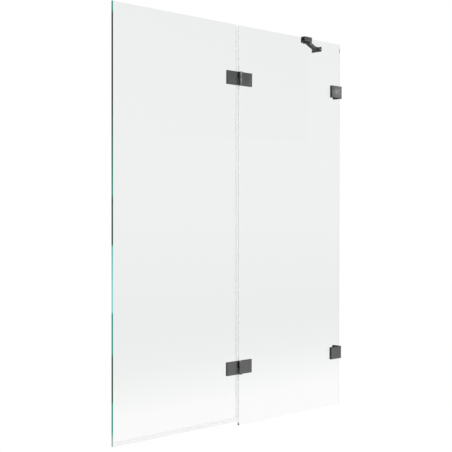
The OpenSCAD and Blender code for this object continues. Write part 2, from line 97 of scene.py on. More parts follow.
FLOOR_DROP = 0.0005     # floor below the foot of the fixed pane
FLOOR_GLOW = 1.012      # strength at which the floor renders white
FLOOR_WHITE = 0.95      # share of that white; the rest keeps the shadow

# Patterns of the surfaces, with distances in metres
GLASS_GRIT = 0.0006     # grit, pits and grain are coarser than the real ones, so that they show
BEAD_PITS = 0.0003
RUBBER_GRAIN = 0.0005
NYLON_GRAIN = 0.0004
SATIN_PATCHES = 0.0012
VINYL_CLOUDS = 0.002
COAT_CLOUDS = 0.02
COAT_SPREAD = 0.08      # share by which the coat's colour varies, up and down
BRUSH_STRETCH = 50      # length of a brush mark over its width


# Colours and settings

def to_linear(hex_colour):
    """Turns an sRGB colour such as "6B6C6A" into linear red, green, blue and alpha."""
    parts = [int(hex_colour[i:i + 2], 16) / 255 for i in (0, 2, 4)]
    return [c / 12.92 if c <= 0.04045 else ((c + 0.055) / 1.055) ** 2.4 for c in parts] + [1.0]


def colour_prop(name, description, hex_colour):
    """Colour setting whose default is an sRGB hex value."""
    return FloatVectorProperty(name=name, description=description, subtype="COLOR", size=4,
                               min=0, max=1, default=to_linear(hex_colour))


class GlassSettings(bpy.types.PropertyGroup):
    """Look of the two panes"""
    tint: colour_prop("Glass tint", "Colour of light that has passed one pane", "EDEFEE")
    # Paler colour at the pane's foot: painted reflection of the white floor's light. It also tints the top
    # and foot edges.
    foot: colour_prop("Glass at the foot", "The same where the pane nears the white floor", "FAFBFA")
    gloss: colour_prop("Glass gloss", "Strength of the mirror image in the flat faces", "2A2A2A")
    # seam: painted light; the fixed pane's end under the seal is painted pale in place of the light that the
    # seal lets through.
    seam: colour_prop("Edge beside a seal", "Polished edge that the pale seal lights", "F8FAF9")
    # The deep, dark and lightest greens paint reflections into the polished ends; the usual green is the
    # glass's own.
    edge_deep: colour_prop("Edge, deepest", "Near-black green of a polished edge", "04140E")
    edge_dark: colour_prop("Edge, dark", "Dark green of a polished edge", "0D4A2F")
    edge_green: colour_prop("Edge, green", "Usual green of a polished edge", "1A9481")
    edge_highlight: colour_prop("Edge, bright", "Lightest green of a polished edge", "87D6C9")
    hole: colour_prop("Drilled wall", "Ground wall of the holes", "A5BAB4")


class MetalSettings(bpy.types.PropertyGroup):
    """Look and edge rounding of the metal fittings"""
    coat: colour_prop("Gunmetal", "Colour of the brushed coated steel", "676867")
    # cut: darker copy of the coat, painted shade of the sides, tops and undersides
    cut: colour_prop("Cut sides", "Colour of the cut, unbrushed sides under the same coat", "444846")
    rim: colour_prop("Gunmetal at a slant", "Strength of the coated steel's gloss seen at a slant", "C4C4C4")
    steel: colour_prop("Stainless steel", "Colour of screws and pins", "B9B8B4")
    grain: FloatProperty(name="Brush grain", description="Distance between two brush marks",
                         default=0.0004, min=0.0001, max=0.002, unit="LENGTH", precision=5)
    round_edge: FloatProperty(name="Edge rounding", description="Width of the rounding on metal edges",
                              default=0.0003, min=0.0001, max=0.001, unit="LENGTH", precision=5)
    round_steps: IntProperty(name="Rounding steps", description="Faces across a rounded edge",
                             default=2, min=1, max=4)
    shank: FloatProperty(name="Shank radius", description="Radius of fixing screws and hinge pins",
                         default=0.00295, min=0.002, max=0.004, unit="LENGTH", precision=5)
    sink: FloatProperty(name="Countersink depth", description="Depth of a flush screw's cone",
                        default=0.0045, min=0.003, max=0.006, unit="LENGTH", precision=5)
    socket: FloatProperty(name="Socket width", description="Key width of a flush screw's socket",
                          default=0.004, min=0.003, max=0.005, unit="LENGTH", precision=5)
    socket_deep: FloatProperty(name="Socket depth", description="Depth of a flush screw's socket",
                               default=0.0024, min=0.001, max=0.003, unit="LENGTH", precision=5)
    grub_socket: FloatProperty(name="Grub socket width", description="Key width of the clamp's grub screws",
                               default=0.0022, min=0.0015, max=0.003, unit="LENGTH", precision=5)
    head: FloatProperty(name="Pin head", description="Thickness of a hinge pin's head",
                        default=0.002, min=0.001, max=0.003, unit="LENGTH", precision=5)
    pivot: FloatProperty(name="Pivot radius", description="Radius of the support arm's pins",
                         default=0.0025, min=0.002, max=0.003, unit="LENGTH", precision=5)
    cap: FloatProperty(name="Pivot head", description="Thickness of a pivot pin's head",
                       default=0.0012, min=0.001, max=0.002, unit="LENGTH", precision=5)


class SoftSettings(bpy.types.PropertyGroup):
    """Look of seals, gaskets and plastic pieces"""
    vinyl: colour_prop("Clear vinyl", "Colour of the light that the vinyl scatters", "F6F7F6")
    vinyl_body: FloatProperty(name="Vinyl cloud", description="Share of the light that the vinyl scatters",
                              default=0.1, min=0.02, max=1, subtype="FACTOR")
    rubber: colour_prop("Rubber", "Colour of gaskets and linings", "454748")
    nylon: colour_prop("Nylon", "Colour of cones and hinge sleeves", "343536")


class StageSettings(bpy.types.PropertyGroup):
    """Camera, light and floor"""
    eye: FloatVectorProperty(name="Camera place", description="Where the camera stands", size=3,
                             subtype="TRANSLATION", unit="LENGTH", default=(-3.2621, -2.5951, 0.5715))
    turn: FloatProperty(name="Camera turn", description="Turn of the camera away from the bath side",
                        subtype="ANGLE", default=0.784518)
    tilt: FloatProperty(name="Camera tilt", description="Tilt of the camera, up is positive",
                        subtype="ANGLE", default=-0.011265)
    roll: FloatProperty(name="Camera roll", description="Roll of the camera round its own line of sight",
                        subtype="ANGLE", default=-0.001172)
    lens: FloatProperty(name="Lens", description="Focal length on a 36 mm sensor", default=78.91,
                        min=20, max=200, subtype="DISTANCE_CAMERA")
    sky: FloatProperty(name="Sky light", description="Strength of the even light", default=0.85,
                       min=0, max=2)
    key: FloatProperty(name="Key light", description="Power of the main soft lamp", default=60,
                       min=0, max=500, unit="POWER")
    side: FloatProperty(name="Side light", description="Power of the small lamp at the wall end",
                        default=0.40, min=0, max=5, unit="POWER", precision=3)
    flag: colour_prop("Dark flag", "Colour of the flags that all the metal mirrors", "5A5C5C")
    shade: colour_prop("Pale flag", "Colour of the flag that the upper fittings mirror", "B0B2B2")
    backdrop: colour_prop("Backdrop", "Colour of floor and backdrop", "FFFFFF")


# Working with meshes

def deselect():
    """Leaves edit mode and clears the selection."""
    if bpy.context.object and bpy.context.object.mode != "OBJECT":
        bpy.ops.object.mode_set(mode="OBJECT")
    bpy.ops.object.select_all(action="DESELECT")


def make_active(piece):
    """Selects one piece and makes it the active one."""
    deselect()
    piece.select_set(True)
    bpy.context.view_layer.objects.active = piece


def edit(piece):
    """Opens a piece in edit mode with nothing selected."""
    make_active(piece)
    bpy.ops.object.mode_set(mode="EDIT")
    bpy.ops.mesh.select_mode(type="FACE")
    bpy.ops.mesh.select_all(action="DESELECT")


def close():
    """Leaves edit mode."""
    bpy.ops.object.mode_set(mode="OBJECT")


def pick_faces(piece, test):
    """In edit mode, selects the faces whose centre and normal pass a test."""
    mesh = bmesh.from_edit_mesh(piece.data)
    found = 0
    for face in mesh.faces:
        hit = bool(test(face.calc_center_median(), face.normal))
        face.select_set(hit)
        found += hit
    bmesh.update_edit_mesh(piece.data)
    if not found:
        raise RuntimeError("no face was found on " + piece.name)


def copy_of(node, name):
    """Copy of a CAD node as a new piece, merged and with its flat faces joined."""
    piece = frame["nodes"][node].copy()
    piece.data = piece.data.copy()
    piece.parent = None
    for key in list(piece.keys()):
        del piece[key]
    piece.name = piece.data.name = name
    piece.hide_render = piece.hide_viewport = False
    bpy.context.scene.collection.objects.link(piece)
    piece.data.materials.clear()
    make_active(piece)
    bpy.ops.object.mode_set(mode="EDIT")
    bpy.ops.mesh.select_all(action="SELECT")
    bpy.ops.mesh.remove_doubles(threshold=SAME_POINT)
    bpy.ops.mesh.dissolve_limited(angle_limit=math.radians(SAME_PLANE))
    close()
    if piece.data.has_custom_normals:
        bpy.ops.mesh.customdata_custom_splitnormals_clear()
    return piece


def round_edges(piece, width, steps):
    """Rounds the sharp edges of a piece."""
    make_active(piece)
    bevel = piece.modifiers.new("Rounded edges", "BEVEL")
    bevel.width = width
    bevel.segments = steps
    bevel.limit_method = "ANGLE"
    bevel.angle_limit = math.radians(SHARP)
    bevel.use_clamp_overlap = True
    bevel.miter_outer = "MITER_ARC"
    bpy.ops.object.modifier_apply(modifier=bevel.name)
    bpy.ops.object.shade_smooth_by_angle(angle=math.radians(SMOOTH))


def ease_off(piece, pane, sides):
    """Moves the faces that lie on a pane a hair off it, because two faces in one place draw black specks.
    Each side is an axis and a way along it, such as (1, -1) for the pane's room side."""
    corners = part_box(pane)
    edit(piece)
    for axis, way in sides:
        level = corners[way > 0][axis]
        bpy.ops.mesh.select_all(action="DESELECT")
        pick_faces(piece, lambda spot, normal:
                   abs(spot[axis] - level) < TOUCH and normal[axis] * way < -SQUARE_ON)
        shift = [0, 0, 0]
        shift[axis] = way * HAIR
        bpy.ops.transform.translate(value=shift)
    close()


def place(piece):
    """Puts a piece's place, turn and size into its mesh."""
    make_active(piece)
    bpy.ops.object.transform_apply(location=True, rotation=True, scale=True)


def finish_piece(piece, body, slot, materials, *nodes):
    """Gives a piece its materials and its body, and hides the CAD nodes that it stands for."""
    if len(piece.data.materials) == 0:
        for material in materials:
            piece.data.materials.append(material)
    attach(piece, body)
    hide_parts(*nodes)
    return piece


def finish_metal(piece, node, axis=None):
    """Brushed faces, and blasted sides and edges in a darker copy of the coat, painted shade. All that lies
    close round the door's axis is brushed, without painted shade.
    """
    for face in piece.data.polygons:
        spot, normal = face.center, face.normal
        near = axis is not None and math.hypot(spot.x - axis[0], spot.y - axis[1]) < BRUSHED_REACH
        face.material_index = 0 if near or abs(normal.y) > FLAT_FACE else 1
    body = FIXED if node in frame["record"]["behaviour"]["bodies"][FIXED] else DOOR
    finish_piece(piece, body, "gunmetal",
                 [bpy.data.materials["brushed_gunmetal"], bpy.data.materials["shaded_blasted_gunmetal"]], node)


def islands(node):
    """Lowest and highest corner of each separate solid in a CAD node, from low to high."""
    mesh = bmesh.new()
    mesh.from_mesh(frame["nodes"][node].data)
    bmesh.ops.remove_doubles(mesh, verts=mesh.verts, dist=SAME_POINT)
    left = set(mesh.verts)
    found = []
    while left:
        work = [left.pop()]
        corners = []
        while work:
            vert = work.pop()
            corners.append(vert.co.copy())
            for link in vert.link_edges:
                other = link.other_vert(vert)
                if other in left:
                    left.remove(other)
                    work.append(other)
        low = Vector([min(c[i] for c in corners) for i in range(3)])
        high = Vector([max(c[i] for c in corners) for i in range(3)])
        found.append((low, high))
    mesh.free()
    return sorted(found, key=lambda pair: (round(pair[0].z, 5), round(pair[0].x, 5)))


def spread(first, spots, name):
    """Copies a piece that is modelled at the origin to each spot, and joins the copies."""
    copies = []
    for spot in spots:
        piece = first.copy()
        piece.data = first.data.copy()
        piece.data.transform(Matrix.Translation(spot))
        bpy.context.scene.collection.objects.link(piece)
        copies.append(piece)
    bpy.data.objects.remove(first)
    deselect()
    for piece in copies:
        piece.select_set(True)
    bpy.context.view_layer.objects.active = copies[0]
    bpy.ops.object.join()
    joined = bpy.context.object
    joined.name = joined.data.name = name
    return joined


def turned(name, rings):
    """Round solid on the Z axis: rings gives height and radius of each step, from the foot up."""
    low, radius = rings[0]
    deselect()
    bpy.ops.mesh.primitive_circle_add(vertices=ROUND_SIDES, radius=radius, fill_type="NGON",
                                      location=(0, 0, low))
    piece = bpy.context.object
    piece.name = piece.data.name = name
    place(piece)
    make_active(piece)
    bpy.ops.object.mode_set(mode="EDIT")
    bpy.ops.mesh.select_mode(type="FACE")
    bpy.ops.mesh.select_all(action="SELECT")
    for high, wide in rings[1:]:
        bpy.ops.mesh.extrude_region_move(TRANSFORM_OT_translate={"value": (0, 0, high - low)})
        share = wide / radius
        bpy.ops.transform.resize(value=(share, share, 1), center_override=(0, 0, high))
        low, radius = high, wide
    bpy.ops.mesh.select_all(action="SELECT")
    bpy.ops.mesh.normals_make_consistent(inside=False)
    close()
    return piece


def cut_socket(piece, top, width, deep):
    """Cuts a six-sided key socket, with a drilled point below it, into the top of a turned piece."""
    reach = 0.001          # the key starts this far above the top
    ledge = width * 0.08   # flat ring round the drilled point
    point = width * 0.18   # depth of the drilled point
    tip_share = 0.1        # width of its tip
    deselect()
    bpy.ops.mesh.primitive_cylinder_add(vertices=6, radius=width / math.sqrt(3), depth=deep + reach,
                                        location=(0, 0, top - deep + (deep + reach) / 2))
    key = bpy.context.object
    place(key)
    edit(key)
    pick_faces(key, lambda spot, normal: normal.z < -SQUARE_ON)
    bpy.ops.mesh.inset(thickness=ledge)
    bpy.ops.mesh.extrude_region_move(TRANSFORM_OT_translate={"value": (0, 0, -point)})
    bpy.ops.transform.resize(value=(tip_share, tip_share, 1), center_override=(0, 0, top - deep - point))
    close()
    make_active(piece)
    cut = piece.modifiers.new("Key socket", "BOOLEAN")
    cut.operation = "DIFFERENCE"
    cut.solver = "EXACT"
    cut.object = key
    bpy.ops.object.modifier_apply(modifier=cut.name)
    bpy.data.objects.remove(key)


def lay_along_y(piece):
    """Turns a piece from the Z axis to the Y axis, its top towards the bath."""
    piece.rotation_euler = (math.radians(-90), 0, 0)
    place(piece)


# Materials

def add_node(tree, kind, at, links=None, values=None, **settings):
    """Adds a node at a place, with its settings, input values and input links."""
    node = tree.nodes.new(kind)
    node.location = at
    for key, value in settings.items():
        setattr(node, key, value)
    for key, value in (values or {}).items():
        node.inputs[key].default_value = value
    for key, source in (links or {}).items():
        tree.links.new(source, node.inputs[key])
    return node


def new_material(name, colour, **values):
    """New material with one Principled shader; returns the material, its tree and the shader."""
    material = bpy.data.materials.new(name)
    material.use_nodes = True
    tree = material.node_tree
    tree.nodes.clear()
    shader = add_node(tree, "ShaderNodeBsdfPrincipled", (0, 0), values={"Base Color": colour, **values})
    add_node(tree, "ShaderNodeOutputMaterial", (300, 0), links={"Surface": shader.outputs[0]})
    material.diffuse_color = colour
    return material, tree, shader


def mapped(tree, scale=(1, 1, 1)):
    """Object coordinates, stretched by a scale along each axis."""
    place_in = add_node(tree, "ShaderNodeTexCoord", (-1200, 0))
    mapping = add_node(tree, "ShaderNodeMapping", (-1000, 0), links={"Vector": place_in.outputs["Object"]},
                       values={"Scale": scale})
    return mapping.outputs[0]


def blend(a, b, share):
    """Colour part way from a to b."""
    return [min(1.0, max(0.0, x * (1 - share) + y * share)) for x, y in zip(a, b)]


def colours_by_height(tree, low, high, stops):
    """Colours from a low to a high place: each stop is a share of that height and its colour."""
    place_in = add_node(tree, "ShaderNodeTexCoord", (-1200, 400))
    split = add_node(tree, "ShaderNodeSeparateXYZ", (-1000, 400),
                     links={"Vector": place_in.outputs["Object"]})
    height = add_node(tree, "ShaderNodeMapRange", (-800, 400), links={"Value": split.outputs["Z"]},
                      values={"From Min": low, "From Max": high})
    ramp = add_node(tree, "ShaderNodeValToRGB", (-500, 400), links={"Fac": height.outputs["Result"]})
    table = ramp.color_ramp.elements
    while len(table) > 1:
        table.remove(table[0])
    table[0].position, table[0].color = stops[0]
    for spot, colour in stops[1:]:
        stop = table.new(spot)
        stop.color = colour
    return ramp.outputs["Color"]


def clear_float_glass(settings):
    """Toughened float glass, fire-polished by floating on tin: clear, with a faint grey-green cast.
    The glass's own cast is even; over the height its colour carries a painted reflection of the surroundings,
    darkest a quarter of the way up and lightest at the foot, next to the white floor."""
    material, tree, shader = new_material(
        "clear_float_glass", settings.tint,
        **{"Roughness": 0.0, "IOR": 1.5, "Transmission Weight": 1.0, "Specular Tint": settings.gloss})
    tint, foot = list(settings.tint), list(settings.foot)
    # Share of the height, and how far the painted reflection takes the colour from the tint towards the
    # foot's
    stops = [(share, blend(tint, foot, pale)) for share, pale in (
        (0.0, 1.0), (0.07, 0.9), (0.12, 0.48), (0.18, 0.05), (0.22, -0.08), (0.26, -0.17), (0.30, -0.17),
        (0.34, -0.1), (0.38, -0.03), (0.50, 0.12), (0.66, 0.16), (0.78, 0.14), (1.0, 0.06))]
    tree.links.new(colours_by_height(tree, GLASS_LIGHT_LOW, GLASS_LIGHT_HIGH, stops), shader.inputs["Base Color"])
    return material


def polished_clear_edge(settings):
    """Polished top and foot of a pane. The eye looks along them, so they hardly show: light goes straight
    through, because a bent ray would stay caught between the two faces and draw a black line."""
    return new_material(
        "polished_clear_edge", settings.foot,
        **{"Roughness": 0.0, "IOR": 1.0, "Transmission Weight": 1.0, "Specular Tint": settings.gloss})[0]


def polished_glass_edge(settings, name, low, high, stops, gloss):
    """Ground and polished end of a pane: light runs lengthways in the glass, so the end looks green.
    Over the height it carries painted reflections: lighter and darker bands of green."""
    material, tree, shader = new_material(
        name, settings.edge_green, **{"Roughness": 0.2, "IOR": 1.5, "Specular IOR Level": gloss})
    tree.links.new(colours_by_height(tree, low, high, stops), shader.inputs["Base Color"])
    return material


def free_end_greens(settings):
    """Greens of the door's free end, from the foot up, each at its share of the height. The usual green is
    the glass's own; the lighter and darker bands are painted reflections, and the foot takes the pale colour
    of a drilled hole.
    """
    deep, dark, green, bright, foot = [list(c) for c in (
        settings.edge_deep, settings.edge_dark, settings.edge_green, settings.edge_highlight, settings.hole)]
    return [
        (0.000, foot), (0.012, foot), (0.030, blend(green, foot, 0.25)), (0.040, green), (0.097, green),
        (0.100, dark), (0.205, dark), (0.208, green), (0.299, green), (0.302, bright), (0.350, bright),
        (0.450, blend(green, bright, 0.5)), (0.454, dark), (0.561, dark), (0.564, blend(dark, green, 0.8)),
        (0.609, blend(dark, green, 0.6)), (0.643, blend(dark, green, 0.38)),
        (0.687, blend(dark, green, 0.18)), (0.732, dark), (0.777, blend(dark, deep, 0.77)), (0.822, deep),
        (0.975, deep), (0.978, green), (1.000, green),
    ]


def ground_hole_wall(settings):
    """Diamond-drilled wall of a hole in the glass: matt, milky and a little rough."""
    material, tree, shader = new_material(
        "ground_hole_wall", settings.hole, **{"Roughness": 0.7, "IOR": 1.5})
    grit = add_node(tree, "ShaderNodeTexNoise", (-800, -200), links={"Vector": mapped(tree)},
                    values={"Scale": 1 / GLASS_GRIT, "Detail": 3.0})
    add_bump = add_node(tree, "ShaderNodeBump", (-300, -200), links={"Height": grit.outputs[0]},
                        values={"Strength": 0.25, "Distance": 0.0001})
    tree.links.new(add_bump.outputs[0], shader.inputs["Normal"])
    return material


def brushed_gunmetal(settings):
    """Stainless steel, brushed level with a belt and coated dark: fine level streaks, soft gloss.
    Real brush marks lie about 0.05 mm apart; these are coarser so that they show."""
    material, tree, shader = new_material(
        "brushed_gunmetal", settings.coat,
        **{"Metallic": 1.0, "Roughness": 0.36, "Specular Tint": settings.rim})
    across = 1 / settings.grain
    along = across / BRUSH_STRETCH
    streaks = add_node(tree, "ShaderNodeTexNoise", (-800, 200),
                       links={"Vector": mapped(tree, (along, along, across))},
                       values={"Scale": 1.0, "Detail": 4.0, "Roughness": 0.6})
    clouds = add_node(tree, "ShaderNodeTexNoise", (-800, -100),
                      links={"Vector": mapped(tree)},
                      values={"Scale": 1 / COAT_CLOUDS, "Detail": 2.0})
    both = add_node(tree, "ShaderNodeMix", (-600, 100), data_type="FLOAT",
                    links={"A": streaks.outputs[0], "B": clouds.outputs[0]}, values={"Factor": 0.3})
    gloss = add_node(tree, "ShaderNodeMapRange", (-400, 100), links={"Value": both.outputs[0]},
                     values={"From Min": 0.3, "From Max": 0.7, "To Min": 0.34, "To Max": 0.38})
    tree.links.new(gloss.outputs[0], shader.inputs["Roughness"])
    dark = [c * (1 - COAT_SPREAD) for c in settings.coat[:3]] + [1.0]
    light = [c * (1 + COAT_SPREAD) for c in settings.coat[:3]] + [1.0]
    shade = add_node(tree, "ShaderNodeMix", (-400, 400), data_type="RGBA", links={0: both.outputs[0]})
    shade.inputs[6].default_value = dark
    shade.inputs[7].default_value = light
    tree.links.new(shade.outputs[2], shader.inputs["Base Color"])
    marks = add_node(tree, "ShaderNodeBump", (-300, -200), links={"Height": streaks.outputs[0]},
                     values={"Strength": 0.05, "Distance": 0.00005})
    tree.links.new(marks.outputs[0], shader.inputs["Normal"])
    return material


def shaded_blasted_gunmetal(settings):
    """The same coated steel where it was sawn or milled and then bead-blasted: a dull, grainy gloss. Its
    darker colour is painted shade of the sides, tops and undersides."""
    material, tree, shader = new_material(
        "shaded_blasted_gunmetal", settings.cut,
        **{"Metallic": 1.0, "Roughness": 0.55, "Specular Tint": settings.rim})
    beads = add_node(tree, "ShaderNodeTexNoise", (-800, 0), links={"Vector": mapped(tree)},
                     values={"Scale": 1 / BEAD_PITS, "Detail": 2.0})
    gloss = add_node(tree, "ShaderNodeMapRange", (-400, 0), links={"Value": beads.outputs[0]},
                     values={"From Min": 0.3, "From Max": 0.7, "To Min": 0.48, "To Max": 0.62})
    tree.links.new(gloss.outputs[0], shader.inputs["Roughness"])
    pits = add_node(tree, "ShaderNodeBump", (-300, -200), links={"Height": beads.outputs[0]},
                    values={"Strength": 0.15, "Distance": 0.00005})
    tree.links.new(pits.outputs[0], shader.inputs["Normal"])
    return material


def turned_stainless(settings):
    """Plain stainless steel, turned on a lathe: bright, with a light satin that varies a little."""
    material, tree, shader = new_material(
        "turned_stainless", settings.steel, **{"Metallic": 1.0, "Roughness": 0.28})
    patches = add_node(tree, "ShaderNodeTexNoise", (-800, 0), links={"Vector": mapped(tree)},
                       values={"Scale": 1 / SATIN_PATCHES, "Detail": 3.0})
    gloss = add_node(tree, "ShaderNodeMapRange", (-400, 0), links={"Value": patches.outputs[0]},
                     values={"From Min": 0.3, "From Max": 0.7, "To Min": 0.2, "To Max": 0.36})
    tree.links.new(gloss.outputs[0], shader.inputs["Roughness"])
    return material


def moulded_plastic(name, colour, roughness, grain):
    """Moulded rubber or nylon: even colour with a fine matt grain from the mould."""
    material, tree, shader = new_material(name, colour, **{"Roughness": roughness})
    speck = add_node(tree, "ShaderNodeTexNoise", (-800, 0), links={"Vector": mapped(tree)},
                     values={"Scale": 1 / grain, "Detail": 2.0})
    add_bump = add_node(tree, "ShaderNodeBump", (-300, -200), links={"Height": speck.outputs[0]},
                        values={"Strength": 0.2, "Distance": 0.00005})
    tree.links.new(add_bump.outputs[0], shader.inputs["Normal"])
    return material


def extruded_vinyl(settings):
    """Clear soft vinyl, drawn through a die: see-through and a little cloudy, with a gloss that varies."""
    material, tree, shader = new_material(
        "extruded_clear_vinyl", settings.vinyl,
        **{"Roughness": 0.3, "IOR": 1.53, "Alpha": settings.vinyl_body})
    clouds = add_node(tree, "ShaderNodeTexNoise", (-800, -200), links={"Vector": mapped(tree)},
                      values={"Scale": 1 / VINYL_CLOUDS, "Detail": 2.0})
    haze = add_node(tree, "ShaderNodeMapRange", (-400, -200), links={"Value": clouds.outputs[0]},
                    values={"From Min": 0.3, "From Max": 0.7, "To Min": 0.24, "To Max": 0.36})
    tree.links.new(haze.outputs[0], shader.inputs["Roughness"])
    return material


# Pieces

class BATHSCREEN_OT_panes(bpy.types.Operator):
    """Both glass panes, with polished green edges and drilled holes"""
    bl_idname = "bathscreen.panes"
    bl_label = "Glass panes"

    def execute(self, context):
        settings = context.scene.bathscreen_glass
        clear = clear_float_glass(settings)
        clear_edge = polished_clear_edge(settings)
        wall = ground_hole_wall(settings)
        # The fixed pane's end is painted pale, painted light from the seal; below the seal's foot it takes a
        # darker green.
        seam = list(settings.seam)
        below_seal = blend(list(settings.edge_green), list(settings.edge_dark), 0.6)
        green_to, pale_from = 0.0046, 0.0056  # shares of the height, where the seal's lower end lies
        ends = {
            "door_glass": ("polished_free_end", free_end_greens(settings), 0.05),
            "fixed_glass": ("polished_seal_end", [
                (0.0, below_seal), (green_to, below_seal), (pale_from, seam), (1.0, seam)], 1.0),
        }
        for node, name, body in (("fixed_glass", "pane_fixed", FIXED), ("door_glass", "pane_door", DOOR)):
            low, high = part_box(node)
            title, stops, gloss = ends[node]
            edge = polished_glass_edge(settings, title, low.z, high.z, stops, gloss)
            piece = copy_of(node, name)
            for material in (clear, edge, wall, clear_edge):
                piece.data.materials.append(material)
            face_at, end_at, hole_at, rim_at = range(4)
            for face in piece.data.polygons:
                spot, normal = face.center, face.normal
                if spot.x < low.x + PANE_RIM and normal.x < -PANE_END:
                    face.material_index = end_at
                elif spot.z < low.z + PANE_RIM or spot.z > high.z - PANE_RIM:
                    face.material_index = rim_at
                elif abs(normal.y) > PANE_FLAT or spot.x > high.x - PANE_RIM:
                    face.material_index = face_at
                else:
                    face.material_index = hole_at
            make_active(piece)
            bpy.ops.object.shade_smooth_by_angle(angle=math.radians(PANE_SMOOTH))
            finish_piece(piece, body, "clear_glass", (), node)
        return {"FINISHED"}


class BATHSCREEN_OT_brackets(bpy.types.Operator):
    """Both wall brackets, with rounded edges"""
    bl_idname = "bathscreen.brackets"
    bl_label = "Wall brackets"

    def execute(self, context):
        settings = context.scene.bathscreen_metal
        for level in ("upper", "lower"):
            node = level + "_wall_bracket"
            piece = copy_of(node, "bracket_" + level)
            round_edges(piece, settings.round_edge, settings.round_steps)
            finish_metal(piece, node)
        return {"FINISHED"}


class BATHSCREEN_OT_hinges(bpy.types.Operator):
    """Four hinge leaves with their knuckles"""
    bl_idname = "bathscreen.hinges"
    bl_label = "Hinge leaves"

    def execute(self, context):
        settings = context.scene.bathscreen_metal
        axis = frame["record"]["behaviour"]["joints"][0]["pos_m"]
        for level in ("upper", "lower"):
            for side in ("fixed", "door"):
                node = "%s_hinge_%s_leaf" % (level, side)
                piece = copy_of(node, "leaf_%s_%s" % (side, level))
                round_edges(piece, settings.round_edge, settings.round_steps)
                finish_metal(piece, node, axis)
        return {"FINISHED"}


class BATHSCREEN_OT_support(bpy.types.Operator):
    """Support arm with its clamp and wall plate"""
    bl_idname = "bathscreen.support"
    bl_label = "Support arm"

    def execute(self, context):
        settings = context.scene.bathscreen_metal
        for node, name in (("support_clamp", "clamp_body"), ("support_arm", "brace_arm"),
                           ("support_wall_plate", "brace_wall_plate")):
            piece = copy_of(node, name)
            round_edges(piece, settings.round_edge, settings.round_steps)
            finish_metal(piece, node)
        return {"FINISHED"}


class BATHSCREEN_OT_seals(bpy.types.Operator):
    """Drip seal and the three lengths of the joint seal"""
    bl_idname = "bathscreen.seals"
    bl_label = "Seals"

    def execute(self, context):
        vinyl = extruded_vinyl(context.scene.bathscreen_soft)
        for node, name in (("door_drip_seal", "seal_drip"), ("joint_seal_top", "seal_joint_top"),
                           ("joint_seal_middle", "seal_joint_middle"),
                           ("joint_seal_bottom", "seal_joint_bottom")):
            piece = copy_of(node, name)
            round_edges(piece, VINYL_ROUND, 2)
            finish_piece(piece, DOOR, "clear_vinyl", [vinyl], node)
        return {"FINISHED"}


class BATHSCREEN_OT_screws(bpy.types.Operator):
    """Twelve flush screws with key sockets, in three groups, and the clamp's two grub screws"""
    bl_idname = "bathscreen.screws"
    bl_label = "Screws"

    def execute(self, context):
        metal = context.scene.bathscreen_metal
        steel = turned_stainless(metal)
        for node, name, body in (("wall_bracket_screws", "screws_bracket", FIXED),
                                 ("fixed_leaf_screws", "screws_fixed_leaf", FIXED),
                                 ("door_leaf_screws", "screws_door_leaf", DOOR)):
            spots = islands(node)
            low, high = spots[0]
            radius, tall = (high.x - low.x) / 2, high.y - low.y
            rim = 0.0003
            mouth, well = metal.socket * 0.72, metal.socket * 0.66
            first = turned(name, [
                (-tall, metal.shank - rim), (-tall + rim, metal.shank), (-metal.sink, metal.shank),
                (-rim, radius), (0, radius - rim), (0, mouth), (-rim / 2, well),
            ])
            cut_socket(first, -rim / 2, metal.socket, metal.socket_deep)
            self.place_at(first, spots, name, body, steel, node)
        spots = islands("clamp_grub_screws")
        low, high = spots[0]
        radius, tall = (high.x - low.x) / 2, high.y - low.y
        rim = 0.0004
        first = turned("screws_grub", [
            (-tall, radius - 2 * rim), (-tall + 2 * rim, radius), (-rim, radius), (0, radius - rim)])
        cut_socket(first, 0, metal.grub_socket, tall / 2)
        self.place_at(first, spots, "screws_grub", FIXED, steel, "clamp_grub_screws")
        return {"FINISHED"}

    def place_at(self, first, spots, name, body, steel, node):
        """Lays a screw along Y and copies it to each screw's place."""
        lay_along_y(first)
        round_edges(first, FINE_ROUND, 1)
        ends = [Vector(((low.x + high.x) / 2, high.y, (low.z + high.z) / 2)) for low, high in spots]
        finish_piece(spread(first, ends, name), body, "stainless_steel", [steel], node)


class BATHSCREEN_OT_pins(bpy.types.Operator):
    """Two hinge pins and the support arm's two pivot pins, with low domed heads"""
    bl_idname = "bathscreen.pins"
    bl_label = "Pins"

    def execute(self, context):
        metal = context.scene.bathscreen_metal
        for node, name, shank, head in (
                ("upper_hinge_pin", "pin_hinge_upper", metal.shank, metal.head),
                ("lower_hinge_pin", "pin_hinge_lower", metal.shank, metal.head),
                ("clamp_pivot_pin", "pin_clamp", metal.pivot, metal.cap),
                ("wall_plate_pivot_pin", "pin_wall_plate", metal.pivot, metal.cap)):
            low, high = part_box(node)
            radius, tall = (high.x - low.x) / 2, high.z - low.z
            rim = head * 0.2
            piece = turned(name, [
                (-tall, shank - rim), (-tall + rim, shank), (-head, shank), (-head, radius),
                (-1.5 * rim, radius), (-0.6 * rim, radius - rim), (-0.2 * rim, radius * 0.6),
                (0, radius * 0.25)])
            piece.location = ((low.x + high.x) / 2, (low.y + high.y) / 2, high.z)
            place(piece)
            round_edges(piece, FINE_ROUND, 1)
            finish_piece(piece, FIXED, "stainless_steel", [bpy.data.materials["turned_stainless"]], node)
        return {"FINISHED"}


